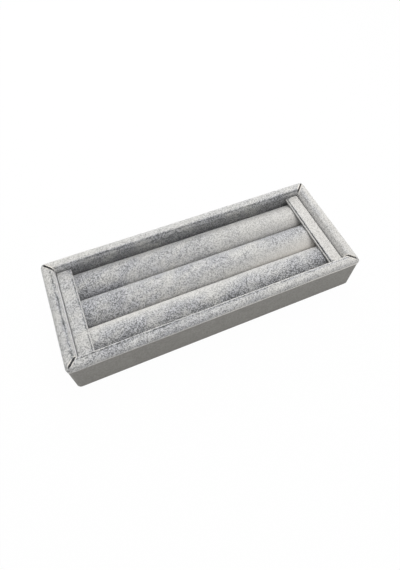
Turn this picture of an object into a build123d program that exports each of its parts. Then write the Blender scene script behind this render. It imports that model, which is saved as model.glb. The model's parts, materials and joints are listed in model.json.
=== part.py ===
"""A velvet ring tray: padded, mitred rails round three velvet rolls under two wrapped end bars.

Millimetres. +X runs along the tray, +Y to its back and +Z up. The origin is the middle of its underside.
"""

import os

from build123d import *

# Overall envelope, over the velvet crowns of the four rails
tray_length = 230.0
tray_width = 91.0
tray_height = 35.0
corner_radius = 4.0

# Velvet, its hems, and the cushion on top of each wall: round outside, with a steeper shoulder inside
velvet_thickness = 0.9
velvet_hem_thickness = 0.6
crown_rise = 4.0
crown_radius = 3.4
crown_overhang = 0.4
shoulder_setback = 1.35
shoulder_drop = 3.5
shoulder_radius = 1.1
shoulder_foot_radius = 4.0
rail_hem_depth = 15.0
rail_hem_relief = 3.0
mitre_gap = 0.45
mitre_edge_radius = 0.45

# Walls and the foam over them
wall_board_thickness = 5.0
wall_edge_radius = 0.7
padding_thickness = 1.6
padding_top_thickness = 1.7
padding_foot_gap = 0.4

# Smooth band round the outside, and the underside
band_thickness = 0.5
band_fold_radius = 0.8
band_hem_width = 8.0
band_seam_gap = 0.3
band_seam_setback = 14.0
base_cover_thickness = 0.5
base_cover_margin = 3.0
base_cover_radius = 3.0
base_board_thickness = 1.5
floor_liner_thickness = 0.4

# Lift-out insert of rolls on a card
insert_card_thickness = 0.5
insert_card_radius = 1.5
insert_side_clearance = 0.3
insert_end_clearance = 0.5
roll_names = ("front", "middle", "back")
roll_gap = 0.2
roll_flattening = 4.0
roll_settlement = 8.6
roll_seam_gap = 0.4
foam_recess = 0.6

# Wrapped bars over the ends of the rolls
bar_width = 11.2
bar_thickness = 2.6
bar_edge_radius = 1.3
bar_corner_radius = 1.2
bar_hem_width = 3.5
bar_side_clearance = 0.7
bar_end_clearance = 0.3
bar_seat_clearance = 0.2

# How far a cutting tool runs past what it cuts
overrun = 1.0

# Places inward from the envelope, through the thickness of a wall
band_outside = crown_overhang
band_inside = band_outside + band_thickness
board_outside = band_inside + velvet_hem_thickness
board_inside = board_outside + wall_board_thickness
padding_inside = board_inside + padding_thickness
rail_width = padding_inside + velvet_thickness

# Heights, from the table up
board_bottom = base_cover_thickness + band_thickness
floor_bottom = board_bottom + base_board_thickness
insert_bottom = floor_bottom + floor_liner_thickness
roll_bottom = insert_bottom + insert_card_thickness
crown_base = tray_height - crown_rise
lip_top = crown_base + velvet_hem_thickness
core_top = tray_height - velvet_thickness
wall_top = core_top - padding_top_thickness

# Room between the rails, and what fills it
inner_length = tray_length - 2 * rail_width
inner_width = tray_width - 2 * rail_width
insert_length = inner_length - 2 * insert_end_clearance
insert_width = inner_width - 2 * insert_side_clearance
roll_count = len(roll_names)
roll_pitch = (insert_width + roll_gap) / roll_count
roll_half_width = (roll_pitch - roll_gap) / 2
roll_radius = roll_half_width + roll_flattening
roll_axis_height = roll_bottom + roll_radius - roll_settlement
roll_top = roll_axis_height + roll_radius
bar_bottom = roll_top + bar_seat_clearance
bar_top = bar_bottom + bar_thickness
bar_length = inner_width - 2 * bar_end_clearance
bar_centre = inner_length / 2 - bar_side_clearance - bar_width / 2

os.makedirs("parts", exist_ok=True)


def save(piece, name):
    """Label a finished piece and write it under its own name."""
    piece.part.label = name
    export_step(piece.part, f"parts/{name}.step")


# Section of one finished wall. The wall's sections are drawn with x inward from the envelope and y up.
with BuildSketch() as wall_section:
    with BuildLine():
        Polyline(
            (0, floor_bottom),
            (rail_width, floor_bottom),
            (rail_width, tray_height - shoulder_drop),
            (rail_width - shoulder_setback, tray_height),
            (0, tray_height),
            close=True,
        )
    make_face()
    outer_top, inner_top = wall_section.vertices().group_by(Axis.Y)[-1].sort_by(Axis.X)
    shoulder_foot = wall_section.vertices().group_by(Axis.X)[-1].sort_by(Axis.Y)[-1]
    fillet(outer_top, crown_radius)
    fillet(inner_top, shoulder_radius)
    fillet(shoulder_foot, shoulder_foot_radius)

# Section of one wall's board
with BuildSketch() as board_section:
    with Locations((board_outside, floor_bottom)):
        Rectangle(wall_board_thickness, wall_top - floor_bottom, align=Align.MIN)
    inner_top_corner = board_section.vertices().group_by(Axis.Y)[-1].sort_by(Axis.X)[-1]
    fillet(inner_top_corner, wall_edge_radius)

# Everything that the velvet wraps round: the board, and the foam that swells over it
with BuildSketch() as core_section:
    add(wall_section.sketch)
    offset(amount=-velvet_thickness, mode=Mode.REPLACE)
    with Locations((velvet_thickness, floor_bottom)):
        Rectangle(rail_width - 2 * velvet_thickness, 2 * velvet_thickness, align=Align.MIN)
    with Locations((0, floor_bottom)):
        Rectangle(board_outside, lip_top - floor_bottom, align=Align.MIN, mode=Mode.SUBTRACT)

# Foam from the outer lip over the board's top and down its inner face
with BuildSketch() as padding_section:
    add(core_section.sketch)
    add(board_section.sketch, mode=Mode.SUBTRACT)
    with Locations((0, floor_bottom)):
        Rectangle(rail_width, padding_foot_gap, align=Align.MIN, mode=Mode.SUBTRACT)

# Hem of the velvet, glued flat to the board behind the band
with BuildSketch() as hem_section:
    with Locations((band_inside, crown_base + velvet_hem_thickness / 2)):
        Rectangle(
            velvet_hem_thickness,
            rail_hem_depth + velvet_hem_thickness / 2,
            align=(Align.MIN, Align.MAX),
        )

# Each wall: the plane of its section, half its length and the direction that it runs in
walls = {
    "front": (Plane(origin=(0, -tray_width / 2, 0), x_dir=(0, 1, 0), z_dir=(1, 0, 0)), tray_length / 2),
    "back": (Plane(origin=(0, tray_width / 2, 0), x_dir=(0, -1, 0), z_dir=(-1, 0, 0)), tray_length / 2),
    "left": (Plane(origin=(-tray_length / 2, 0, 0), x_dir=(1, 0, 0), z_dir=(0, -1, 0)), tray_width / 2),
    "right": (Plane(origin=(tray_length / 2, 0, 0), x_dir=(-1, 0, 0), z_dir=(0, 1, 0)), tray_width / 2),
}


def mitre_planes(section_plane, half_length):
    """The two upright 45 degree planes that end a rail, each half the mitre's gap inside its corner."""
    along, inward = section_plane.z_dir, section_plane.x_dir
    for end in (1, -1):
        corner = section_plane.origin + along * end * half_length
        facing = (along * -end - inward).normalized()
        yield Plane(origin=corner + facing * mitre_gap / 2, z_dir=facing)


def edges_on(piece, plane, lowest):
    """The edges of a piece that lie on a plane and whose middles are above a height."""
    flat_edges = []
    for edge in piece.edges():
        middle = edge.center()
        if abs(plane.to_local_coords(middle).Z) < mitre_gap / 10 and middle.Z > lowest:
            flat_edges.append(edge)
    return flat_edges


def inset_outline(inset, radius):
    """The tray's outline in plan, drawn in by an inset all round."""
    RectangleRounded(tray_length - 2 * inset, tray_width - 2 * inset, radius)


def cushion(inset):
    """The tray's whole outside, drawn in by an inset, with its crown rounded all the way round."""
    with BuildPart() as outside:
        with BuildSketch():
            inset_outline(inset, corner_radius - inset)
        extrude(amount=tray_height - inset)
        fillet(outside.edges().group_by(Axis.Z)[-1], crown_radius - inset)
    return outside.part


# Room outside the boards that the band and the velvet's hems take
with BuildPart() as band_room:
    with BuildSketch(Plane.XY.offset(floor_bottom)):
        Rectangle(tray_length, tray_width)
    extrude(amount=crown_base - floor_bottom)
    with BuildSketch(Plane.XY.offset(floor_bottom)):
        inset_outline(board_outside, corner_radius - board_outside)
    extrude(amount=crown_base - floor_bottom, mode=Mode.SUBTRACT)

for side, (section_plane, half_length) in walls.items():
    # Front and back boards run the whole length, and the end boards stand between them
    board_half_length = half_length - (board_outside if side in ("front", "back") else board_inside)

    with BuildPart() as wall_board:
        with BuildSketch(section_plane):
            add(board_section.sketch)
        extrude(amount=board_half_length, both=True)
        with BuildSketch():
            inset_outline(board_outside, corner_radius - board_outside)
        extrude(amount=tray_height, mode=Mode.INTERSECT)
    save(wall_board, f"{side}_wall_board")

    with BuildPart() as rail_padding:
        with BuildSketch(section_plane):
            add(padding_section.sketch)
        extrude(amount=half_length, both=True)
        add(cushion(velvet_thickness), mode=Mode.INTERSECT)
        for mitre_plane in mitre_planes(section_plane, half_length):
            split(bisect_by=mitre_plane, keep=Keep.TOP)
    save(rail_padding, f"{side}_rail_padding")

    with BuildPart() as rail_core:
        with BuildSketch(section_plane):
            add(core_section.sketch)
        extrude(amount=half_length, both=True)
        add(cushion(velvet_thickness), mode=Mode.INTERSECT)

    # The velvet's lip turns in over the band's top edge, and its ends roll over into the mitres
    with BuildPart() as rail_velvet:
        with BuildSketch(section_plane):
            add(wall_section.sketch)
        extrude(amount=half_length, both=True)
        add(cushion(0), mode=Mode.INTERSECT)
        for mitre_plane in mitre_planes(section_plane, half_length):
            split(bisect_by=mitre_plane, keep=Keep.TOP)
        for mitre_plane in mitre_planes(section_plane, half_length):
            fillet(edges_on(rail_velvet, mitre_plane, crown_base), mitre_edge_radius)
        add(rail_core.part, mode=Mode.SUBTRACT)
        add(band_room.part, mode=Mode.SUBTRACT)
        with BuildSketch(section_plane):
            add(hem_section.sketch)
        extrude(amount=half_length - board_outside - rail_hem_relief, both=True)
    save(rail_velvet, f"{side}_rail_velvet")


# Band round the walls, turned in under the base, its two ends meeting at the back
with BuildPart() as side_band:
    with BuildSketch(Plane.XY.offset(base_cover_thickness)):
        inset_outline(band_outside, corner_radius - band_outside)
    extrude(amount=crown_base - base_cover_thickness)
    fillet(side_band.edges().group_by(Axis.Z)[0], band_fold_radius)
    with BuildSketch(Plane.XY.offset(board_bottom)):
        inset_outline(band_inside, corner_radius - band_inside)
    extrude(amount=crown_base, mode=Mode.SUBTRACT)
    with BuildSketch(Plane.XY.offset(base_cover_thickness)):
        inset_outline(band_outside + band_hem_width, base_cover_radius)
    extrude(amount=band_thickness, mode=Mode.SUBTRACT)
    with BuildSketch(Plane.XY.offset(base_cover_thickness)):
        with Locations((tray_length / 2 - band_seam_setback, tray_width / 2 + overrun)):
            Rectangle(
                band_seam_gap,
                overrun + band_outside + band_hem_width + overrun,
                align=(Align.CENTER, Align.MAX),
            )
    extrude(amount=crown_base, mode=Mode.SUBTRACT)
save(side_band, "side_band")

# Panel under the walls
with BuildPart() as base_board:
    with BuildSketch(Plane.XY.offset(board_bottom)):
        inset_outline(band_inside, corner_radius - band_inside)
    extrude(amount=base_board_thickness)
save(base_board, "base_board")

# Felt sheet over the band's hem, pressed up against the panel inside it
with BuildPart() as base_cover:
    with BuildSketch():
        inset_outline(band_outside + base_cover_margin, base_cover_radius)
    extrude(amount=base_cover_thickness)
    with BuildSketch(Plane.XY.offset(base_cover_thickness)):
        inset_outline(band_outside + band_hem_width, base_cover_radius)
    extrude(amount=band_thickness)
save(base_cover, "base_cover")

# Velvet on the floor, inside the rails
with BuildPart() as floor_liner:
    with BuildSketch(Plane.XY.offset(floor_bottom)):
        Rectangle(inner_length, inner_width)
    extrude(amount=floor_liner_thickness)
save(floor_liner, "floor_liner")

# Card that carries the rolls
with BuildPart() as insert_card:
    with BuildSketch(Plane.XY.offset(insert_bottom)):
        RectangleRounded(insert_length, insert_width, insert_card_radius)
    extrude(amount=insert_card_thickness)
save(insert_card, "insert_card")


def roll_outline(skin):
    """A circle pressed flat underneath and where it meets its neighbours, drawn in by a skin's thickness."""
    Circle(roll_radius - skin)
    with Locations((0, roll_bottom - roll_axis_height + skin)):
        Rectangle(
            2 * (roll_half_width - skin),
            2 * roll_radius,
            align=(Align.CENTER, Align.MIN),
            mode=Mode.INTERSECT,
        )


for index, name in enumerate(roll_names):
    roll_y = (index - (roll_count - 1) / 2) * roll_pitch
    roll_plane = Plane(origin=(0, roll_y, roll_axis_height), x_dir=(0, 1, 0), z_dir=(1, 0, 0))

    with BuildPart() as roll_foam:
        with BuildSketch(roll_plane):
            roll_outline(velvet_thickness)
        extrude(amount=insert_length / 2 - foam_recess, both=True)
    save(roll_foam, f"{name}_roll_foam")

    # The sleeve's edges meet underneath, on the card
    with BuildPart() as roll_velvet:
        with BuildSketch(roll_plane):
            roll_outline(0)
        extrude(amount=insert_length / 2, both=True)
        with BuildSketch(roll_plane):
            roll_outline(velvet_thickness)
        extrude(amount=insert_length / 2, both=True, mode=Mode.SUBTRACT)
        with BuildSketch(roll_plane):
            with Locations((0, roll_bottom - roll_axis_height)):
                Rectangle(roll_seam_gap, 2 * velvet_thickness)
        extrude(amount=insert_length / 2, both=True, mode=Mode.SUBTRACT)
    save(roll_velvet, f"{name}_roll_velvet")


for name, end in (("left", -1), ("right", 1)):
    centre = end * bar_centre
    strip_bottom = bar_bottom + velvet_hem_thickness
    strip_top = bar_top - velvet_thickness

    with BuildPart() as bar_board:
        with BuildSketch(Plane.XY.offset(strip_bottom)):
            with Locations((centre, 0)):
                Rectangle(bar_width - 2 * velvet_thickness, bar_length - 2 * velvet_thickness)
        extrude(amount=strip_top - strip_bottom)
        fillet(bar_board.edges().group_by(Axis.Z)[-1], bar_edge_radius - velvet_thickness)
    save(bar_board, f"{name}_bar_board")

    # Velvet over the strip's top, sides and ends, with its hems turned under
    with BuildPart() as bar_velvet:
        with BuildSketch(Plane.XY.offset(bar_bottom)):
            with Locations((centre, 0)):
                RectangleRounded(bar_width, bar_length, bar_corner_radius)
        extrude(amount=bar_thickness)
        fillet(bar_velvet.edges().group_by(Axis.Z)[-1], bar_edge_radius)
        add(bar_board.part, mode=Mode.SUBTRACT)
        with BuildSketch(Plane.XY.offset(bar_bottom)):
            with Locations((centre, 0)):
                Rectangle(bar_width - 2 * bar_hem_width, bar_length - 2 * bar_hem_width)
        extrude(amount=velvet_hem_thickness, mode=Mode.SUBTRACT)
    save(bar_velvet, f"{name}_bar_velvet")
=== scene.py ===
"""Looks of a velvet ring tray: crushed velvet rails, rolls and end bars, a smooth band, light and camera.

Metres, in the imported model's frame: +X along the tray, +Y to its back, +Z up.
"""

import json

import bpy
import numpy as np
from mathutils import Matrix, Vector


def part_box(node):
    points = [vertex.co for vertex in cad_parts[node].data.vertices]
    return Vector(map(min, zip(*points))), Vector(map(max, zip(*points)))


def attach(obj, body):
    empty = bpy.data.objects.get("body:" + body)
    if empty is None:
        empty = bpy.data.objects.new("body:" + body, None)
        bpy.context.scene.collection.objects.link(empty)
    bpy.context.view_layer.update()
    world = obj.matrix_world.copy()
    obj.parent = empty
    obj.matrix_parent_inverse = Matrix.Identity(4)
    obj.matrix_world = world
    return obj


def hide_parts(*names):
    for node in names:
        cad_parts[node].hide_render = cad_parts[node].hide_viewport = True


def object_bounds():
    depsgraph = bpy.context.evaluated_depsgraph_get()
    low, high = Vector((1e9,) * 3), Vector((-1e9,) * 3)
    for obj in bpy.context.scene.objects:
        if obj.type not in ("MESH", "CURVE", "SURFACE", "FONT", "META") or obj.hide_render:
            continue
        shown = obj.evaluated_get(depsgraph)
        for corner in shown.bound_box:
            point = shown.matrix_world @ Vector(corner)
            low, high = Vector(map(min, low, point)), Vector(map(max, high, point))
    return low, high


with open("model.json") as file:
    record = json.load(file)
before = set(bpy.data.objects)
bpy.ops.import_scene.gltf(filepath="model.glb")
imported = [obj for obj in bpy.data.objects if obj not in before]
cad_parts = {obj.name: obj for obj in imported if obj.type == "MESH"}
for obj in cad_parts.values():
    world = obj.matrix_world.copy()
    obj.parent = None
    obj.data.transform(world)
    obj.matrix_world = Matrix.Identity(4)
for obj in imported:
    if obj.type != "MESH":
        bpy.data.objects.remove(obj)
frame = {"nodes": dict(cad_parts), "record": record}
nodes = frame["nodes"]
cad_box = [list(corner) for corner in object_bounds()]

MM = 0.001
UP = np.array((0, 0, 1))
WHITE = (1, 1, 1, 1)

# Steps between points where the cloth shows and where it is hidden
PILE_STEP = 0.5 * MM
HIDDEN_STEP = 2.5 * MM

# Relief of the cloth: fine tufts and broad soft lumps, up to a few points past a piece's outermost point
PILE_CELL = 0.7 * MM
PILE_HEIGHT = 0.05 * MM
LUMP_CELL = 17 * MM
LUMP_HEIGHT = 0.12 * MM
RELIEF_PAST_EDGE = 4

# Marks in the velvet's colour, from broad to fine, and how its patches slant and stretch
DRIFT_SIZE = 38 * MM
CLOUD_SIZE = 11 * MM
TUFT_SIZE = 1.4 * MM
FLECK_SIZE = 0.5 * MM
NAP_SLANT = np.radians(21)
NAP_STRETCH = (1.8, 0.9, 1.0)
SHEEN_ROUGHNESS = 0.4

# A rail's cushion: round outside, a steeper shoulder inside, a lip over the band and a hem behind it
CORNER_RADIUS = 4.0 * MM
CROWN_RADIUS = 3.4 * MM
SHOULDER_SETBACK = 1.35 * MM
SHOULDER_DROP = 3.5 * MM
SHOULDER_RADIUS = 1.1 * MM
SHOULDER_FOOT_RADIUS = 4.0 * MM
LIP_RADIUS = 0.35 * MM
LIP_STEPS = 5
HEM_DEPTH = 15 * MM
RELIEF_FADE = 2 * MM

# A mitre: the slit between rails, painted shade in it, the cloth rolling into it, a low lip with a painted
# highlight
MITRE_REACH = 3 * MM
MITRE_STEPS = 12
SLIT_CLOSED = 0.06 * MM
SLIT_OPENING = 1.2 * MM
SLIT_START = 1.6 * MM
SLIT_FULL = 3.6 * MM
SLIT_BELOW_CROWN = 0.3
SLIT_SHADE_DEPTH = 0.2 * MM
SLIT_SHADE = 2
ROLLED_EDGE = 0.5 * MM
ROLLED_AT_CORNER = 0.35
MITRE_LIP_LIFT = 0.3 * MM
MITRE_LIP_PLACE = 0.85 * MM
MITRE_LIP_WIDTH = 0.45 * MM
# How much paler the lip is made: a painted highlight
MITRE_LIP_HIGHLIGHT = 0.9

# Pile streaks: their wander, how their strength varies about its mean; painted shade's steps down an inner
# face
WANDER_CELL = 2.5 * MM
WANDER = 0.25 * MM
STREAK_CELL = 9 * MM
STREAK_MEAN = 0.9
STREAK_VARIES = 0.4
# Painted shade down a rail's inner face: where its first eased step ends and where its second does
FACE_TURN = 1.6 * MM
FACE_DEEP = 6 * MM

# A roll: its outline follows the circle closely down to an angle from upright, and in long steps under it
ROLL_RADIUS = 13.0 * MM
ROLL_SHARPNESS = 24
ROLL_FINE_ANGLE = 115
ROLL_UNDER_STEPS = 24
ROLL_RIM_STEPS = 7
ROLL_INSIDE_STEPS = 5
ROLL_RELIEF_HEIGHTS = (-0.2, 0.3)
# Cosines of the angle from upright between which a roll's painted shading fades in
ROLL_PAINTED_SHADING_HEIGHTS = (-0.1, 0.5)
NEARLY_NONE = 0.01
CORE_PLAY = 0.05 * MM
CORE_STEPS = 40

# An end bar: rounded edge, corners, folded hem, slight crown, places in edge radii; painted highlight and
# shadow
BAR_EDGE = 1.3 * MM
BAR_EDGE_STEPS = 6
BAR_CORNER = 1.2 * MM
BAR_CORNER_STEPS = 6
BAR_HEM = 3.5 * MM
BAR_FOLD = 0.4 * MM
BAR_FOLD_STEPS = 4
BAR_FLAT_STEPS = 3
BAR_HEM_STEPS = 5
BAR_HEM_EDGE_STEPS = 2
BAR_CROWN = 0.12 * MM
BAR_LUMPS = 0.5 * LUMP_HEIGHT
BAR_WANDER = 0.5 * WANDER
BAR_CREASE_PLACE = (0.85, 0.05)
BAR_CREASE_WIDTH = 0.5 * MM
BAR_CREASE_VARIES = 0.5
BAR_LIP_PLACE = (0.2, 0.4)
BAR_LIP_WIDTH = 0.3 * MM
# How much paler the bar's lip is made: pile laid flat and a painted highlight
BAR_LIP_COMBED_AND_HIGHLIGHT = 0.25
# Where the painted shadow round a bar's foot starts and is full, in radii of the edge below its top, and how
# dark
BAR_FOOT_HEIGHTS = (0.8, 1.6)
BAR_FOOT_SHADOW = 2.0

# Floor and light
FLOOR_REACH = 3.0
FLOOR_DROP = 0.05 * MM
FLOOR_CONTACT = 5 * FLOOR_DROP
FLOOR_GREY = (0.8, 0.8, 0.8, 1)
FLOOR_GLOW = 0.98
WORLD_LIGHT = 0.55

# The photograph's camera. The offset is the tray's front left corner, seen as right, down and ahead
PICTURE_WIDTH, PICTURE_HEIGHT = 400, 570
OPTICAL_CENTRE = np.array((204.898, 253.935))
FOCAL_PIXELS = 419.493
SENSOR = 36.0
YAW, PITCH, TILT = np.radians((24.256, 55.706, 1.528))
VIEW_OFFSET = np.array((-90.791, 96.758, 299.49)) * MM


# Sizes read from the frame

def corners(node):
    """The lowest and highest corner of a node as arrays."""
    low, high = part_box(node)
    return np.array(low), np.array(high)


tray_low, tray_high = (np.array(corner) for corner in cad_box)
rail_low, rail_high = corners("front_rail_velvet")
padding_high = corners("front_rail_padding")[1]
board_low = corners("front_wall_board")[0]
panel_low = corners("base_board")[0]

HALF_LENGTH, HALF_WIDTH = tray_high[:2]
RAIL_WIDTH = rail_high[1] - rail_low[1]
RAIL_FOOT, RAIL_TOP = rail_low[2], rail_high[2]
CROWN_BASE = corners("side_band")[1][2]
VELVET = rail_high[1] - padding_high[1]
HEM_INSIDE = board_low[1] - rail_low[1]
HEM_OUTSIDE = panel_low[1] - rail_low[1]
HEM_THICKNESS = HEM_INSIDE - HEM_OUTSIDE


# Noise and eased values

def scrambled(cells, seed):
    """A steady random number from -1 to 1 for each whole-numbered cell, its bits mixed by large factors."""
    factors = np.array([374761393, 668265263, 2246822519], dtype=np.uint32)
    mixed = (cells.astype(np.int64).astype(np.uint32) * factors).sum(axis=-1, dtype=np.uint32)
    mixed = mixed + np.uint32(seed * 977 + 1)
    mixed = (mixed ^ (mixed >> np.uint32(13))) * np.uint32(1274126177)
    mixed = mixed ^ (mixed >> np.uint32(16))
    return (mixed & np.uint32(0xFFFF)) / 32767.5 - 1


def soft_noise(points, cell, seed=0):
    """Smooth noise from -1 to 1: random numbers on a cubic lattice, blended by an eased weight."""
    whole = np.floor(points / cell)
    part = points / cell - whole
    eased = part * part * (3 - 2 * part)
    total = np.zeros(points.shape[:-1])
    for corner in np.ndindex(2, 2, 2):
        weight = np.where(corner, eased, 1 - eased).prod(axis=-1)
        total += weight * scrambled(whole + corner, seed)
    return total


def cloth_relief(points, seed, lump_height=LUMP_HEIGHT):
    """Height of the cloth above its smooth surface: fine noise for tufts plus broad noise for lumps."""
    tufts = PILE_HEIGHT * soft_noise(points, PILE_CELL)
    return tufts + lump_height * soft_noise(points, LUMP_CELL, seed=seed)


def eased_step(values, start, end):
    """Rises from 0 at start to 1 at end along a cubic with level ends."""
    share = np.clip((values - start) / (end - start), 0, 1)
    return share * share * (3 - 2 * share)


def bell(distance, width):
    """1 at no distance, falling away as e to the minus square of distance over width."""
    return np.exp(-(distance / width) ** 2)


def along_tray(points, ends):
    """A value that runs evenly along X from one number at the tray's left end to another at its right."""
    left, right = ends
    return left + (right - left) * (points[..., 0] - tray_low[0]) / (tray_high[0] - tray_low[0])


# Profiles and grids of points

def steps_for(length, step=PILE_STEP):
    """How many steps, two or more, a length takes."""
    return max(2, int(np.ceil(length / step)))


def line(start, end, count):
    """Points from start up to, but not at, end, evenly spaced."""
    share = np.arange(count)[:, None] / count
    return np.array(start) + (np.array(end) - np.array(start)) * share


def bend(centre, radius, first, last, count):
    """Points on a round stretch between two angles in degrees, evenly spaced, without its last point."""
    angle = np.radians(first + (last - first) * np.arange(count) / count)
    return np.array(centre) + radius * np.stack([np.cos(angle), np.sin(angle)], axis=-1)


def rounded_path(corners, radii):
    """Points along a path that turns left at its corners, each rounded by a tangent arc, and their normals.

    An arc of radius r that turns by t meets its straights r tan(t / 2) from the corner. The normal is the
    direction of travel turned a quarter turn to the right."""
    corners = [np.array(corner, dtype=float) for corner in corners]
    points, normals = [], []
    start = corners[0]
    for before, corner, after, radius in zip(corners, corners[1:], corners[2:], radii):
        heading = (corner - before) / np.linalg.norm(corner - before)
        leaving = (after - corner) / np.linalg.norm(after - corner)
        normal = np.array((heading[1], -heading[0]))
        turn = np.arctan2(heading[0] * leaving[1] - heading[1] * leaving[0], heading @ leaving)
        arc_start = corner - heading * radius * np.tan(turn / 2)
        straight = line(start, arc_start, steps_for(np.linalg.norm(arc_start - start)))
        angle = np.arange(steps_for(radius * turn)) / steps_for(radius * turn) * turn
        spin = np.cos(angle)[:, None] * normal + np.sin(angle)[:, None] * heading
        arc = arc_start + radius * (spin - normal)
        points += [straight, arc]
        normals += [np.broadcast_to(normal, straight.shape), spin]
        start = corner + leaving * radius * np.tan(turn / 2)
    heading = (corners[-1] - start) / np.linalg.norm(corners[-1] - start)
    straight = line(start, corners[-1], steps_for(np.linalg.norm(corners[-1] - start)))
    points.append(straight)
    normals.append(np.broadcast_to((heading[1], -heading[0]), straight.shape))
    return np.concatenate(points), np.concatenate(normals)


def directions(points, axis, closed):
    """Differences between each grid point's two neighbours along one axis."""
    if closed:
        return np.roll(points, -1, axis=axis) - np.roll(points, 1, axis=axis)
    return np.gradient(points, axis=axis)


def grid_normals(points, closed_columns=False):
    """Unit normals of a grid of points: the cross product of its two directions."""
    cross = np.cross(directions(points, 0, closed=False), directions(points, 1, closed_columns))
    return cross / np.maximum(np.linalg.norm(cross, axis=-1, keepdims=True), 1e-12)


def vertex_numbers(points):
    """The number of each point of a grid, counted along its rows."""
    return np.arange(points[..., 0].size).reshape(points.shape[:-1])


def grid_quads(index, closed_rows=False, closed_columns=False):
    """Quads between neighbouring entries of a grid of vertex numbers, wrapped where a direction is closed."""
    if closed_rows:
        index = np.concatenate([index, index[:1]], axis=0)
    if closed_columns:
        index = np.concatenate([index, index[:, :1]], axis=1)
    quads = np.stack([index[:-1, :-1], index[1:, :-1], index[1:, 1:], index[:-1, 1:]], axis=-1)
    return quads.reshape(-1, 4)


def tube_quads(index):
    """Quads round a tube of closed rings, and over its two ends, whose points are joined in pairs across."""
    half = index.shape[1] // 2
    quads = [grid_quads(index, closed_columns=True)]
    for end, turned in ((0, 1), (-1, -1)):
        cap = np.stack([index[end, :half], index[end, ::-1][:half]])
        quads.append(grid_quads(cap)[:, ::turned])
    return np.concatenate(quads)


# Pieces

def closed_piece(name, points, quads, body, replaced, slot):
    """A closed piece that stands for a node, from a grid of points.

    Its quads are turned outwards if the volume they enclose is negative. That volume is a sum over tetrahedra
    to the origin."""
    points = points.reshape(-1, 3)
    a, b, c, d = (points[quads[:, i]] for i in range(4))
    volume = (np.cross(a, b) * c).sum() + (np.cross(a, c) * d).sum()
    if volume < 0:
        quads = quads[:, ::-1]
    mesh = bpy.data.meshes.new(name)
    mesh.vertices.add(len(points))
    mesh.vertices.foreach_set("co", points.astype(np.float32).ravel())
    mesh.loops.add(quads.size)
    mesh.loops.foreach_set("vertex_index", quads.astype(np.int32).ravel())
    mesh.polygons.add(len(quads))
    mesh.polygons.foreach_set("loop_start", np.arange(0, quads.size, 4, dtype=np.int32))
    mesh.polygons.foreach_set("use_smooth", np.ones(len(quads), dtype=bool))
    mesh.update(calc_edges=True)
    mesh.materials.append(slot_materials[slot])
    piece = bpy.data.objects.new(name, mesh)
    bpy.context.scene.collection.objects.link(piece)
    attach(piece, body)
    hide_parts(replaced)
    return piece


def cloth_piece(name, points, quads, pile_and_painted_light, body, replaced):
    """A padded velvet piece that carries how open its pile is, with painted shade and painted highlights
    added in.
    """
    piece = closed_piece(name, points, quads, body, replaced, "velvet")
    values = piece.data.attributes.new("pile_and_painted_light", "FLOAT", "POINT").data
    values.foreach_set("value", pile_and_painted_light.astype(np.float32).ravel())


# Materials

class Number:
    """A shader socket that takes part in sums: each operator adds one Math node."""

    def __init__(self, shading, socket):
        self.shading, self.socket = shading, socket

    def __add__(self, other):
        return self.shading.math("ADD", self, other)

    def __sub__(self, other):
        return self.shading.math("SUBTRACT", self, other)

    def __rsub__(self, other):
        return self.shading.math("SUBTRACT", other, self)

    def __mul__(self, other):
        return self.shading.math("MULTIPLY", self, other)

    __radd__, __rmul__ = __add__, __mul__


class Shading:
    """The node tree of a material or a world, whose nodes are added one call at a time."""

    def __init__(self, owner):
        owner.use_nodes = True
        self.tree = owner.node_tree

    def node(self, kind, settings=None, inputs=None):
        """Adds a node: its settings first, then its sockets' values or links."""
        made = self.tree.nodes.new(kind)
        for key, value in (settings or {}).items():
            setattr(made, key, value)
        for key, value in (inputs or {}).items():
            self.set(made.inputs[key], value)
        return made

    def set(self, socket, value):
        """Links a socket to another's output, or gives it a plain value."""
        if isinstance(value, Number):
            value = value.socket
        if isinstance(value, bpy.types.NodeSocket):
            self.tree.links.new(value, socket)
        else:
            socket.default_value = value

    def number(self, kind, settings, inputs, output):
        """Adds a node and returns one of its outputs as a number for sums."""
        return Number(self, self.node(kind, settings, inputs).outputs[output])

    def math(self, operation, *values):
        """The result of one Math node."""
        return self.number("ShaderNodeMath", {"operation": operation}, dict(enumerate(values)), "Value")

    def mix_shader(self, share, first, second):
        """A shader between two others."""
        return self.node("ShaderNodeMixShader", {}, {0: share, 1: first, 2: second}).outputs[0]


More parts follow.
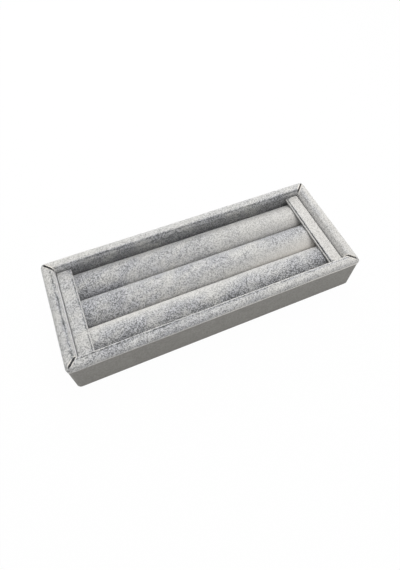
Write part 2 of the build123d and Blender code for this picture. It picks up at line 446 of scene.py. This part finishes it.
class Surface(Shading):
    """A material of one Principled shader."""

    def __init__(self, name, roughness, sheen=0.0, specular=0.3):
        self.material = bpy.data.materials.new(name)
        super().__init__(self.material)
        self.shader = self.tree.nodes["Principled BSDF"]
        self.set(self.shader.inputs["Roughness"], roughness)
        self.set(self.shader.inputs["Sheen Weight"], sheen)
        self.set(self.shader.inputs["Sheen Roughness"], SHEEN_ROUGHNESS)
        self.set(self.shader.inputs["Specular IOR Level"], specular)
        self.place = self.node("ShaderNodeTexCoord").outputs["Object"]

    def mapped(self, kind, rotation, scale):
        """The object's own coordinates, turned and stretched by a Mapping node of a kind."""
        inputs = {"Vector": self.place, "Rotation": rotation, "Scale": scale}
        return self.node("ShaderNodeMapping", {"vector_type": kind}, inputs).outputs["Vector"]

    def noise(self, size, detail=2.0, roughness=0.5, distortion=0.0, place=None):
        """Noise whose blotches are about size across, as a number from 0 to 1."""
        inputs = {"Vector": place or self.place, "Scale": 1 / size, "Detail": detail, "Roughness": roughness,
                  "Distortion": distortion}
        return self.number("ShaderNodeTexNoise", {}, inputs, "Fac")

    def flecks(self, size):
        """One random number from 0 to 1 for each of many irregular cells about size across."""
        cells = self.node("ShaderNodeTexVoronoi", {}, {"Vector": self.place, "Scale": 1 / size})
        return self.number("ShaderNodeTexWhiteNoise", {}, {"Vector": cells.outputs["Position"]}, "Value")

    def ramp(self, value, start, end):
        """0 below start and 1 above end, eased between."""
        settings = {"interpolation_type": "SMOOTHSTEP"}
        inputs = {"Value": value, "From Min": start, "From Max": end}
        return self.number("ShaderNodeMapRange", settings, inputs, "Result")

    def mix(self, share, first, second):
        """A colour between two others."""
        return self.node("ShaderNodeMix", {"data_type": "RGBA"}, {0: share, 6: first, 7: second}).outputs[2]

    def finish(self, colour, bump, strength, depth):
        """Feeds the colour and the bump to the shader."""
        relief = self.node("ShaderNodeBump", {}, {"Strength": strength, "Distance": depth, "Height": bump})
        self.set(self.shader.inputs["Base Color"], colour)
        self.set(self.shader.inputs["Normal"], relief.outputs["Normal"])
        return self.material


def paint(red, green, blue):
    """A colour given as the eye sees it, 0 to 255, as linear light for a shader."""
    shade = np.array([red, green, blue]) / 255
    linear = np.where(shade > 0.04045, ((shade + 0.055) / 1.055) ** 2.4, shade / 12.92)
    return (*linear, 1.0)


def crushed_velvet():
    """Grey velvet whose nap lies every way.

    Fine dark flecks crowd in slanting patches and where a bend opens the pile. Where the pile lies flat
    there are few, and the ground is paler. A sheen brightens it where it is seen from the side.

    Each piece's attribute brings in painted light too: painted shade darkens the velvet towards olive grey
    and, where deepest, to near black, and painted highlights whiten it."""
    velvet = Surface("crushed_velvet", 0.95, sheen=1.0, specular=0.1)
    # Per point: how open the pile is, with painted light added. Above zero it darkens, for pile that opens
    # and for painted shade; below zero it whitens, for pile laid flat and for painted highlights.
    pile_and_painted_light = velvet.number("ShaderNodeAttribute", {"attribute_name": "pile_and_painted_light"}, {}, "Fac")
    slanting = velvet.mapped("TEXTURE", (0, 0, NAP_SLANT), NAP_STRETCH)
    drifts = velvet.noise(DRIFT_SIZE, detail=1)
    clouds = velvet.noise(CLOUD_SIZE, detail=2, roughness=0.6, place=slanting)
    tufts = velvet.noise(TUFT_SIZE, detail=1, roughness=0.6)
    flecks = velvet.flecks(FLECK_SIZE)
    # These masks read the attribute, so they carry its painted light as well as the state of the pile: olive
    # and more flecks where shade is painted, fewer patches and flecks where highlights are painted.
    bent_and_painted_shade = velvet.ramp(pile_and_painted_light, 0.1, 1.0)
    made_paler = velvet.ramp(0 - pile_and_painted_light, 0.0, 1.0)
    crushed = velvet.ramp(pile_and_painted_light, -0.5, 0.4)
    rubbed = velvet.ramp(drifts * 0.35 + clouds * 0.65 + pile_and_painted_light * 0.12, 0.36, 0.64) * crushed
    thick = rubbed * 0.26 + bent_and_painted_shade * 0.36 + tufts * 0.16
    share = (rubbed * 0.2 + bent_and_painted_shade * 0.2 + 0.64) * (1 - made_paler * 0.7)
    specks = velvet.ramp(flecks + thick, 0.56, 0.98) * share
    ground = velvet.mix(rubbed, paint(204, 203, 200), paint(193, 194, 199))
    # Olive grey where bends open the pile, and painted shade, as on the back rail's inner face
    dulled = velvet.mix(bent_and_painted_shade * 0.4, ground, paint(134, 134, 116))
    specked = velvet.mix(specks, dulled, paint(82, 83, 83))
    # Painted shade, near black, where the attribute passes 1.1: in the mitre slits, round the foot of each
    # bar and in the darkest part of the right bar's crease
    shaded = velvet.mix(velvet.ramp(pile_and_painted_light, 1.1, 2.0), specked, paint(40, 40, 41))
    # Whiter where the attribute is below zero: pile laid flat, and painted highlights on the mitre lips, the
    # bars' lips and the rolls
    colour = velvet.mix(made_paler, shaded, paint(240, 235, 227))
    return velvet.finish(colour, bump=tufts, strength=0.3, depth=0.3 * MM)


def leatherette():
    """Smooth matte leatherette with a very fine grain."""
    band = Surface("leatherette", 0.62, specular=0.35)
    grain = band.noise(0.6 * MM, detail=2, roughness=0.6)
    mottle = band.noise(9 * MM, detail=2)
    flecks = band.flecks(0.9 * MM)
    shade = band.ramp(mottle * 0.3 + grain * 0.35 + flecks * 0.35, 0.25, 0.75)
    colour = band.mix(shade, paint(131, 129, 124), paint(151, 149, 144))
    return band.finish(colour, bump=grain, strength=0.15, depth=0.05 * MM)


def raw_board(name, light, dark, size):
    """Pressed board: fibres in two close shades, drawn out along the sheet."""
    board = Surface(name, 0.9, specular=0.2)
    drawn_out = board.mapped("POINT", (0, 0, 0), (0.3, 1.0, 1.0))
    fibres = board.noise(size, detail=4, roughness=0.7, place=drawn_out)
    colour = board.mix(board.ramp(fibres, 0.35, 0.65), light, dark)
    return board.finish(colour, bump=fibres, strength=0.25, depth=0.1 * MM)


def sponge():
    """Grey open-cell foam: round pores, darker inside, as painted shade.

    Its greys are set dark so that the mitre slits, where it shows, look dark: partly painted shade.
    """
    foam = Surface("sponge", 0.95, specular=0.1)
    cells = {"Vector": foam.place, "Scale": 1 / (0.9 * MM)}
    pores = foam.number("ShaderNodeTexVoronoi", {}, cells, "Distance")
    # Painted shade in the middle of each pore
    colour = foam.mix(foam.ramp(pores, 0.15, 0.5), paint(40, 40, 42), paint(84, 84, 86))
    return foam.finish(colour, bump=pores, strength=0.5, depth=0.3 * MM)


def felt():
    """Dark pressed felt: short crossing fibres in two greys."""
    cover = Surface("felt", 0.95, sheen=0.2, specular=0.1)
    fibres = cover.noise(0.7 * MM, detail=4, roughness=0.75, distortion=1.5)
    patches = cover.noise(11 * MM, detail=2)
    shade = cover.ramp(fibres * 0.7 + patches * 0.3, 0.36, 0.62)
    colour = cover.mix(shade, paint(74, 74, 77), paint(104, 104, 108))
    return cover.finish(colour, bump=fibres, strength=0.4, depth=0.2 * MM)


slot_materials = {
    "velvet": crushed_velvet(),
    "band": leatherette(),
    "fibreboard": raw_board("fibreboard", paint(176, 146, 110), paint(146, 116, 84), 0.8 * MM),
    "greyboard": raw_board("greyboard", paint(150, 147, 141), paint(126, 123, 118), 0.6 * MM),
    "foam": sponge(),
    "felt": felt(),
}
for entry in frame["record"]["subparts"]:
    mesh = nodes[entry["node"]].data
    mesh.materials.clear()
    mesh.materials.append(slot_materials[entry["material_slot"]])


# Flat cloths, kept as packed

for name in ("floor_liner", "base_cover"):
    low, high = corners(name)


# Rails

def rail_section():
    """Outer and inner path of a rail's cloth, as insets from the tray's edge and heights.

    It runs up the inner face, over the shoulder and crown, down to the lip over the band and down the hem.
    The inner path is the outer one moved in by the velvet along its normals, and stays above the lip's own
    cloth."""
    crown_path, crown_normals = rounded_path(
        [
            (RAIL_WIDTH, RAIL_FOOT),
            (RAIL_WIDTH, RAIL_TOP - SHOULDER_DROP),
            (RAIL_WIDTH - SHOULDER_SETBACK, RAIL_TOP),
            (0, RAIL_TOP),
            (0, CROWN_BASE + LIP_RADIUS),
        ],
        [SHOULDER_FOOT_RADIUS, SHOULDER_RADIUS, CROWN_RADIUS],
    )
    lip_inside = CROWN_BASE + HEM_THICKNESS
    hem_steps = steps_for(HEM_DEPTH, HIDDEN_STEP)
    outer = np.concatenate([
        crown_path,
        bend((LIP_RADIUS, CROWN_BASE + LIP_RADIUS), LIP_RADIUS, 180, 270, LIP_STEPS),
        line((LIP_RADIUS, CROWN_BASE), (HEM_OUTSIDE, CROWN_BASE), LIP_STEPS),
        line((HEM_OUTSIDE, CROWN_BASE), (HEM_OUTSIDE, CROWN_BASE - HEM_DEPTH), hem_steps),
        [(HEM_OUTSIDE, CROWN_BASE - HEM_DEPTH)],
    ])
    outer_face = (crown_normals[:, 0] < -0.99)[:, None]
    inner_crown = crown_path - VELVET * crown_normals
    inner_crown = inner_crown + outer_face * np.maximum(lip_inside - inner_crown[:, 1:], 0)
    turned_in = VELVET + lip_inside - CROWN_BASE - LIP_RADIUS
    inner = np.concatenate([
        inner_crown,
        line((turned_in, lip_inside), (HEM_INSIDE, lip_inside), 2 * LIP_STEPS),
        line((HEM_INSIDE, lip_inside), (HEM_INSIDE, CROWN_BASE - HEM_DEPTH), hem_steps),
        [(HEM_INSIDE, CROWN_BASE - HEM_DEPTH)],
    ])
    return outer, inner


def rail_stations(half_length):
    """Distances from a rail's end to its middle, close together near the mitre."""
    near = np.linspace(0, MITRE_REACH, MITRE_STEPS, endpoint=False)
    far = np.linspace(MITRE_REACH, half_length, steps_for(half_length))
    return np.concatenate([near, far])


def rail_surface(section, half_length, place):
    """Sweeps a section between two 45 degree mitres and bends it round the tray's rounded corners.

    The slit between two rails is lens-shaped: closed at the outer corner and widest over the crown. Also
    gives each point's distance from the mitre and how open the slit is beside it, from 0 to 1."""
    inward, height = section[:, 0], section[:, 1]
    rounding = np.maximum(CORNER_RADIUS - inward, 0) / np.sqrt(2)
    mitre = np.where(inward < CORNER_RADIUS, CORNER_RADIUS - rounding, inward)
    on_crown = eased_step(height, CROWN_BASE, RAIL_TOP)
    lens = SLIT_BELOW_CROWN + (1 - SLIT_BELOW_CROWN) * on_crown
    lens = eased_step(inward, SLIT_START, SLIT_FULL) * lens
    slit = SLIT_CLOSED + (SLIT_OPENING - SLIT_CLOSED) * lens
    mitre = mitre + slit / np.sqrt(2)

    distance = rail_stations(half_length)[:, None]
    from_end = mitre + distance * (half_length - mitre) / half_length
    arc_reach = np.clip(CORNER_RADIUS - from_end, 0, None)
    corner = np.sqrt(np.maximum(np.maximum(CORNER_RADIUS - inward, 0) ** 2 - arc_reach ** 2, 0))
    in_corner = (inward < CORNER_RADIUS) & (from_end < CORNER_RADIUS)
    inset = np.where(in_corner, CORNER_RADIUS - corner, inward)

    along = np.concatenate([from_end - half_length, (half_length - from_end)[-2::-1]])
    inset = np.concatenate([inset, inset[-2::-1]])
    distance = np.concatenate([distance, distance[-2::-1]])
    height = np.broadcast_to(height, along.shape)
    return place(inset, along, height), distance, lens


def rail_relief(points, path, distance, lens):
    """How far a rail's cloth stands off its smooth section, and the height of the lip beside the mitre in it.

    It is the tufts and lumps, plus a bell for the lip, less a quarter round that rolls the cloth over into
    the slit. It fades out at the rail's foot and stops where the cloth turns under, at the band."""
    inset, height = path[:, 0], path[:, 1]
    outermost = np.argmin(inset + (height < CROWN_BASE))
    shows = eased_step(height, RAIL_FOOT, RAIL_FOOT + RELIEF_FADE)
    shows = shows * (np.arange(len(path)) < outermost + RELIEF_PAST_EDGE)
    rolled = ROLLED_EDGE * (ROLLED_AT_CORNER + (1 - ROLLED_AT_CORNER) * lens)
    reach = np.clip(1 - distance / rolled, 0, 1)
    drop = rolled * (1 - np.sqrt(1 - reach ** 2))
    lip = MITRE_LIP_LIFT * lens * bell(distance - MITRE_LIP_PLACE, MITRE_LIP_WIDTH)
    return (cloth_relief(points, seed=3) + lip - drop) * shows, lip


def rail_pile_and_painted_light(points, path, lay_and_painted_light, streaks, face):
    """How open a rail's pile is, with painted light: a tone from the tray's left end to its right, which is
    partly painted light, its streaks, and painted shade down the inner face in two eased steps.

    A place round the section is the length run from the inner ridge, where inset and height sum highest. Each
    streak is a bell about its place, which wanders, with a strength that varies along the rail."""
    run = np.concatenate([[0], np.cumsum(np.linalg.norm(np.diff(path, axis=0), axis=1))])
    run = run - run[np.argmax(path.sum(axis=1))]
    wander = WANDER * soft_noise(points, WANDER_CELL, seed=17)
    strength = STREAK_MEAN + STREAK_VARIES * soft_noise(points, STREAK_CELL, seed=11)
    streak = sum(
        rise * strength * bell(run + wander - spot * MM, width * MM)
        for spot, width, rise in streaks
    )
    # Painted shade down the inner face, darker the deeper it goes
    down_face = (eased_step(-run, 0, FACE_TURN) + eased_step(-run, FACE_TURN, FACE_DEEP)) / 2
    return along_tray(points, lay_and_painted_light) + streak + face * down_face


def rail(side, half_length, origin, inward_axis, along_axis, lay_and_painted_light, streaks, face=0.0):
    """One rail: its section swept to both mitres, with relief on the outer path, and closed at both ends.

    The pile lies as given from the tray's left end to its right. That is partly painted light: it makes the
    right rail and the right end of the front rail paler. By face, painted shade darkens the inner face. A
    streak has its place outwards round the section from the inner ridge and its width, in millimetres, and
    how far it opens the pile, or combs it flat where that is negative. The lip beside each mitre gets a
    painted highlight, and the slit painted shade."""
    def place(inset, along, height):
        """Insets, lengths and heights of the rail as points of the tray."""
        return (np.array(origin) + inset[..., None] * np.array(inward_axis)
                + along[..., None] * np.array(along_axis) + height[..., None] * UP)

    outer_path, inner_path = rail_section()
    outer, distance, lens = rail_surface(outer_path, half_length, place)
    inner, _, _ = rail_surface(inner_path, half_length, place)
    normals = grid_normals(outer)
    # The middle of a rail faces up, so normals that point down there all point into the cloth
    if normals[len(outer) // 2, len(outer_path) // 2, 2] < 0:
        normals = -normals
    relief, lip = rail_relief(outer, outer_path, distance, lens)
    outer = outer + normals * relief[..., None]
    pile_and_painted_light = rail_pile_and_painted_light(outer, outer_path, lay_and_painted_light, streaks, face)
    # Painted highlight: the low lip beside the mitre is made paler
    pile_and_painted_light = pile_and_painted_light - MITRE_LIP_HIGHLIGHT * lip / MITRE_LIP_LIFT
    # Painted shade in the slit: the cloth at the mitre is darkened, near black where the slit is widest
    pile_and_painted_light = pile_and_painted_light + SLIT_SHADE * lens * (distance < SLIT_SHADE_DEPTH)

    loop = np.concatenate([outer, inner[:, ::-1]], axis=1)
    pile_and_painted_light = np.concatenate([pile_and_painted_light, np.zeros_like(pile_and_painted_light)], axis=1)
    cloth_piece(f"{side}_rail_cloth", loop, tube_quads(vertex_numbers(loop)), pile_and_painted_light, "tray",
                f"{side}_rail_velvet")


# The front rail's first, negative streak is a painted highlight along its inner ridge. The face values paint
# shade down the inner faces of the back and right rails.
rail("front", HALF_LENGTH, (0, -HALF_WIDTH, 0), (0, 1, 0), (1, 0, 0), lay_and_painted_light=(0.15, -0.25),
     streaks=[(0.1, 0.4, -0.5), (1.3, 0.6, 0.6), (7.2, 1.3, 0.1), (9.4, 0.35, -0.8)])
rail("back", HALF_LENGTH, (0, HALF_WIDTH, 0), (0, -1, 0), (-1, 0, 0), lay_and_painted_light=(-0.22, -0.08),
     streaks=[(-0.3, 1.0, 0.5)], face=0.65)
rail("left", HALF_WIDTH, (-HALF_LENGTH, 0, 0), (1, 0, 0), (0, -1, 0), lay_and_painted_light=(-0.1, -0.1),
     streaks=[(1.0, 0.9, 0.85)])
rail("right", HALF_WIDTH, (HALF_LENGTH, 0, 0), (-1, 0, 0), (0, 1, 0), lay_and_painted_light=(-0.28, -0.28),
     streaks=[(0.6, 2.2, 0.2)], face=0.15)


# Rolls

def pressed_circle(name):
    """A roll's axis, the sine and cosine of the angles round it from upright, and its outline.

    The outline gives the distance from the axis at an inset: a soft minimum of the circle's and of the flats'
    where the roll is pressed at its two sides and underneath."""
    low, high = corners(f"{name}_roll_velvet")
    half_flat = (high[1] - low[1]) / 2
    axis = np.array([0, (low[1] + high[1]) / 2, high[2] - ROLL_RADIUS])
    fine_length = np.radians(2 * ROLL_FINE_ANGLE) * ROLL_RADIUS
    upper = np.linspace(-ROLL_FINE_ANGLE, ROLL_FINE_ANGLE, 2 * (steps_for(fine_length) // 2))
    under = np.linspace(ROLL_FINE_ANGLE, 360 - ROLL_FINE_ANGLE, ROLL_UNDER_STEPS)[1:-1]
    angle = np.radians(np.concatenate([upper, under]))
    side, up = np.sin(angle), np.cos(angle)

    def outline(inset):
        """The distances from the axis, one for each angle."""
        limits = np.stack([
            np.full_like(angle, ROLL_RADIUS - inset),
            (half_flat - inset) / np.maximum(np.abs(side), NEARLY_NONE),
            (axis[2] - low[2] - inset) / np.maximum(-up, NEARLY_NONE),
        ])
        return ((limits ** -ROLL_SHARPNESS).sum(axis=0)) ** (-1 / ROLL_SHARPNESS)

    return axis, side, up, outline


def carried_along(along, axis, distance, side, up):
    """Points at the outline's distances from a roll's axis, at each place along X."""
    across, height = axis[1] + distance * side, axis[2] + distance * up
    return np.stack(np.broadcast_arrays(along[:, None], across, height), axis=-1)


def roll(name, lay_and_painted_light, painted_shading):
    """A velvet tube carried along X and turned in round a half circle at its ends to its own inside.

    The pile lies as given, which is partly painted light. Over the upper part of the tube painted shading
    makes the front darker, as painted shade, and the back paler, as a painted highlight, by the sine of the
    angle from upright. Both run from the tray's left end to its right."""
    high = corners(f"{name}_roll_velvet")[1]
    skin = high[2] - corners(f"{name}_roll_foam")[1][2]
    axis, side, up, outline = pressed_circle(name)
    half = high[0]
    shown = np.linspace(-half + skin, half - skin, steps_for(2 * (half - skin)))
    rim = np.radians(np.linspace(0, 180, ROLL_RIM_STEPS))[1:-1]
    hidden = np.linspace(half - skin, -half + skin, ROLL_INSIDE_STEPS)
    rim_reach, rim_inset = skin / 2 * np.sin(rim), skin / 2 * (1 - np.cos(rim))
    along = np.concatenate([shown, half - skin / 2 + rim_reach, hidden, -half + skin / 2 - rim_reach])
    inset = np.concatenate([np.zeros_like(shown), rim_inset, np.full_like(hidden, skin), rim_inset[::-1]])
    share = (inset / skin)[:, None]
    distance = outline(0) * (1 - share) + outline(skin) * share
    points = carried_along(along, axis, distance, side, up)
    outward = np.stack([np.zeros_like(side), side, up], axis=-1)
    shows = eased_step(up, *ROLL_RELIEF_HEIGHTS) * (share == 0)
    points = points + outward * (cloth_relief(points, seed=5) * shows)[..., None]
    quads = grid_quads(vertex_numbers(points), closed_rows=True, closed_columns=True)
    # Painted shade on the roll's front and a painted highlight on its back, by the sine of the angle from
    # upright
    made_paler = along_tray(points, painted_shading) * side * eased_step(up, *ROLL_PAINTED_SHADING_HEIGHTS)
    pile_and_painted_light = along_tray(points, lay_and_painted_light) - made_paler
    cloth_piece(f"{name}_roll_cloth", points, quads, pile_and_painted_light, "ring_insert", f"{name}_roll_velvet")


def roll_core(name):
    """The foam inside a roll: its outline, smaller by the velvet and a little play, between flat ends."""
    low, high = corners(f"{name}_roll_foam")
    skin = corners(f"{name}_roll_velvet")[1][2] - high[2]
    axis, side, up, outline = pressed_circle(name)
    along = np.linspace(low[0], high[0], CORE_STEPS)
    points = carried_along(along, axis, outline(skin + CORE_PLAY), side, up)
    closed_piece(f"{name}_roll_core", points, tube_quads(vertex_numbers(points)), "ring_insert",
                 f"{name}_roll_foam", "foam")


# Painted shading per roll, from the tray's left end to its right: where it is positive the front is darker
# and the back paler, where negative the other way round
roll("front", lay_and_painted_light=(0.05, 0.2), painted_shading=(0.6, 0.45))
roll("middle", lay_and_painted_light=(0.3, -0.12), painted_shading=(0.2, -0.65))
roll("back", lay_and_painted_light=(0.3, -0.35), painted_shading=(0.15, -0.1))
for name in ("front", "middle", "back"):
    roll_core(name)


# End bars

def inset_outline(half_x, half_y, inset):
    """Points round a bar's rounded rectangle, drawn in by each inset: four straights, four quarter turns."""
    turn = np.maximum(BAR_CORNER - inset, 0)[:, None]
    reach_x = (half_x - inset)[:, None] - turn
    reach_y = (half_y - inset)[:, None] - turn
    run_x = np.linspace(-1, 1, steps_for(2 * half_x))[None, :]
    run_y = np.linspace(-1, 1, steps_for(2 * half_y))[None, :]
    quarter = np.radians(np.linspace(0, 90, BAR_CORNER_STEPS))[None, 1:-1]
    cos, sin = np.cos(quarter), np.sin(quarter)
    x = np.concatenate([
        reach_x + turn + 0 * run_y, reach_x + turn * cos, -reach_x * run_x,
        -reach_x - turn * sin, -reach_x - turn + 0 * run_y, -reach_x - turn * cos,
        reach_x * run_x, reach_x + turn * sin,
    ], axis=1)
    y = np.concatenate([
        reach_y * run_y, reach_y + turn * sin, reach_y + turn + 0 * run_x,
        reach_y + turn * cos, -reach_y * run_y, -reach_y - turn * sin,
        -reach_y - turn + 0 * run_x, -reach_y - turn * cos,
    ], axis=1)
    return x, y


def bar_profile(half_x, top, bottom, skin, hem):
    """Insets and heights of a bar's cloth, from the middle of its top to the middle of its inside.

    It runs over the rounded edge, down the side, round the fold, along the hem, and back up inside."""
    return np.concatenate([
        line((half_x, top), (BAR_EDGE, top), steps_for(half_x - BAR_EDGE)),
        bend((BAR_EDGE, top - BAR_EDGE), BAR_EDGE, 90, 180, BAR_EDGE_STEPS),
        line((0, top - BAR_EDGE), (0, bottom + BAR_FOLD), BAR_FLAT_STEPS),
        bend((BAR_FOLD, bottom + BAR_FOLD), BAR_FOLD, 180, 270, BAR_FOLD_STEPS),
        line((BAR_FOLD, bottom), (BAR_HEM, bottom), BAR_HEM_STEPS),
        line((BAR_HEM, bottom), (BAR_HEM, bottom + hem), BAR_HEM_EDGE_STEPS),
        line((BAR_HEM, bottom + hem), (skin, bottom + hem), BAR_FLAT_STEPS),
        line((skin, bottom + hem), (skin, top - skin), BAR_FLAT_STEPS),
        line((skin, top - skin), (half_x, top - skin), BAR_FLAT_STEPS),
        [(half_x, top - skin)],
    ])


def from_edge_place(profile, top, place):
    """Each profile point's distance from a place inward and down from a bar's edge, given in its radii."""
    inward, down = place
    return np.linalg.norm(profile - np.array((BAR_EDGE * inward, top - BAR_EDGE * down)), axis=1)[:, None]


def end_bar(name, lay_and_painted_light, crease_opening):
    """A velvet-wrapped strip: its profile carried round its rounded outline, with relief where it shows.

    The pile lies as given, which is partly painted light. Along the edge nearer the tray's middle it opens in
    a wandering crease, and the lip below that is made paler, both as bells: that lip is pile laid flat and a
    painted highlight. Round the foot a painted shadow darkens it in an eased step, where the bar sits over
    the rolls."""
    low, high = corners(f"{name}_bar_velvet")
    strip_low, strip_high = corners(f"{name}_bar_board")
    centre = (low + high) / 2
    half_x, half_y = (high - low)[:2] / 2
    top = high[2]
    profile = bar_profile(half_x, top, low[2], top - strip_high[2], strip_low[2] - low[2])
    inset, height = profile[:, 0], profile[:, 1]
    outermost = np.argmin(inset)
    place = np.arange(len(inset))

    x, y = inset_outline(half_x, half_y, inset)
    crown = BAR_CROWN * eased_step(inset, 0, half_x) * (place < outermost)
    points = np.stack([centre[0] + x, centre[1] + y, (height + crown)[:, None] + 0 * x], axis=-1)
    normals = grid_normals(points, closed_columns=True)
    if normals[1, len(normals[0]) // 2, 2] < 0:
        normals = -normals
    normals[0] = UP
    shows = (place < outermost + RELIEF_PAST_EDGE)[:, None]
    points = points + normals * (cloth_relief(points, seed=8, lump_height=BAR_LUMPS) * shows)[..., None]

    wander = BAR_WANDER * soft_noise(points, WANDER_CELL, seed=17)
    crease = crease_opening * bell(from_edge_place(profile, top, BAR_CREASE_PLACE) + wander, BAR_CREASE_WIDTH)
    # Painted highlight, with pile laid flat, on the lip below the crease
    lip = BAR_LIP_COMBED_AND_HIGHLIGHT * bell(from_edge_place(profile, top, BAR_LIP_PLACE), BAR_LIP_WIDTH)
    inner_side = eased_step(-np.sign(centre[0]) * (points[..., 0] - centre[0]), 0, half_x)
    strength = 1.0 + BAR_CREASE_VARIES * soft_noise(points, STREAK_CELL, seed=11)
    # Painted shadow on the lower sides and the underside, where the bar sits over the rolls
    foot_start, foot_full = (share * BAR_EDGE for share in BAR_FOOT_HEIGHTS)
    foot = BAR_FOOT_SHADOW * eased_step(top - height, foot_start, foot_full)[:, None]
    pile_and_painted_light = along_tray(points, lay_and_painted_light) + (crease - lip) * inner_side * strength + foot
    quads = grid_quads(vertex_numbers(points), closed_columns=True)
    cloth_piece(f"{name}_bar_cloth", points, quads, pile_and_painted_light, f"{name}_end_bar", f"{name}_bar_velvet")


# The right bar is set paler than the left, as the right rail is: partly painted light, for the more strongly
# lit right end of the tray
end_bar("left", lay_and_painted_light=(-0.08, -0.08), crease_opening=0.7)
end_bar("right", lay_and_painted_light=(-0.28, -0.28), crease_opening=2.2)


# Stage, light and camera

def backdrop():
    """A wide pale floor that the camera sees as nearly white, with the tray's own soft shadow on it.

    It lies just under the tray, shows only from above, and lets through what leaves the tray's underside, so
    that underside can be looked at in the light."""
    square = FLOOR_REACH * np.array([(-1, -1), (1, -1), (1, 1), (-1, 1)])
    mesh = bpy.data.meshes.new("backdrop")
    mesh.from_pydata([(x, y, -FLOOR_DROP) for x, y in square], [], [(0, 1, 2, 3)])
    material = bpy.data.materials.new("backdrop")
    paper = Shading(material)
    paper.tree.nodes.remove(paper.tree.nodes["Principled BSDF"])
    path = paper.node("ShaderNodeLightPath").outputs
    seen = paper.math("MAXIMUM", path["Is Camera Ray"], path["Is Glossy Ray"])
    seen = paper.math("MAXIMUM", seen, path["Is Transmission Ray"])
    plain = paper.node("ShaderNodeBsdfDiffuse", {}, {"Color": FLOOR_GREY}).outputs[0]
    glow = paper.node("ShaderNodeEmission", {}, {"Color": WHITE}).outputs[0]
    clear = paper.node("ShaderNodeBsdfTransparent").outputs[0]
    from_above = paper.mix_shader(seen, plain, paper.mix_shader(FLOOR_GLOW, plain, glow))
    touching = paper.math("LESS_THAN", path["Ray Length"], FLOOR_CONTACT)
    from_below = paper.node("ShaderNodeNewGeometry").outputs["Backfacing"]
    look = paper.mix_shader(paper.math("MAXIMUM", touching, from_below), from_above, clear)
    paper.set(paper.tree.nodes["Material Output"].inputs["Surface"], look)
    mesh.materials.append(material)
    floor = bpy.data.objects.new("backdrop", mesh)
    bpy.context.scene.collection.objects.link(floor)


def studio_world():
    """Even white light from all round, and plain white where the camera looks past the floor."""
    world = bpy.data.worlds.new("studio")
    bpy.context.scene.world = world
    sky = Shading(world)
    seen = sky.node("ShaderNodeLightPath").outputs["Is Camera Ray"]
    level = sky.node("ShaderNodeMix", {}, {0: seen, 2: WORLD_LIGHT, 3: 1.0}).outputs[0]
    background = sky.tree.nodes["Background"]
    sky.set(background.inputs["Strength"], level)
    sky.set(background.inputs["Color"], WHITE)


def softbox(name, place, size, power):
    """A square lamp that points from its place at the tray."""
    lamp = bpy.data.lights.new(name, "AREA")
    lamp.size = size
    lamp.energy = power
    holder = bpy.data.objects.new(name, lamp)
    holder.location = place
    holder.rotation_euler = (-Vector(place)).to_track_quat("-Z", "Y").to_euler()
    bpy.context.scene.collection.objects.link(holder)


def photo_camera():
    """The photograph's camera: turned about the upright axis, tipped down, then tilted about its own axis."""
    cos, sin = np.cos, np.sin
    turn = np.array([[cos(YAW), -sin(YAW), 0], [sin(YAW), cos(YAW), 0], [0, 0, 1]])
    upright = np.array([[1, 0, 0], [0, 0, -1], [0, 1, 0]])
    tip = np.array([[1, 0, 0], [0, cos(PITCH), -sin(PITCH)], [0, sin(PITCH), cos(PITCH)]])
    spin = np.array([[cos(TILT), -sin(TILT), 0], [sin(TILT), cos(TILT), 0], [0, 0, 1]])
    view = spin @ tip @ upright @ turn
    place = -view.T @ VIEW_OFFSET + np.array((tray_low[0], tray_low[1], 0))
    camera = bpy.data.cameras.new("photo_camera")
    camera.sensor_fit = "VERTICAL"
    camera.sensor_height = SENSOR
    camera.lens = FOCAL_PIXELS * SENSOR / PICTURE_HEIGHT
    camera.shift_x = (PICTURE_WIDTH / 2 - OPTICAL_CENTRE[0]) / PICTURE_HEIGHT
    camera.shift_y = (OPTICAL_CENTRE[1] - PICTURE_HEIGHT / 2) / PICTURE_HEIGHT
    camera.clip_start = 10 * MM
    holder = bpy.data.objects.new("photo_camera", camera)
    axes = view.T @ np.diag((1, -1, -1))
    holder.matrix_world = Matrix.Translation(Vector(place)) @ Matrix(axes.tolist()).to_4x4()
    bpy.context.scene.collection.objects.link(holder)
    bpy.context.scene.camera = holder


backdrop()
studio_world()
softbox("overhead", place=(0.1, 0.1, 0.6), size=0.5, power=2.1)
softbox("behind", place=(0.08, 0.53, 0.34), size=0.3, power=1.6)
photo_camera()
bpy.context.scene.view_settings.view_transform = "Standard"
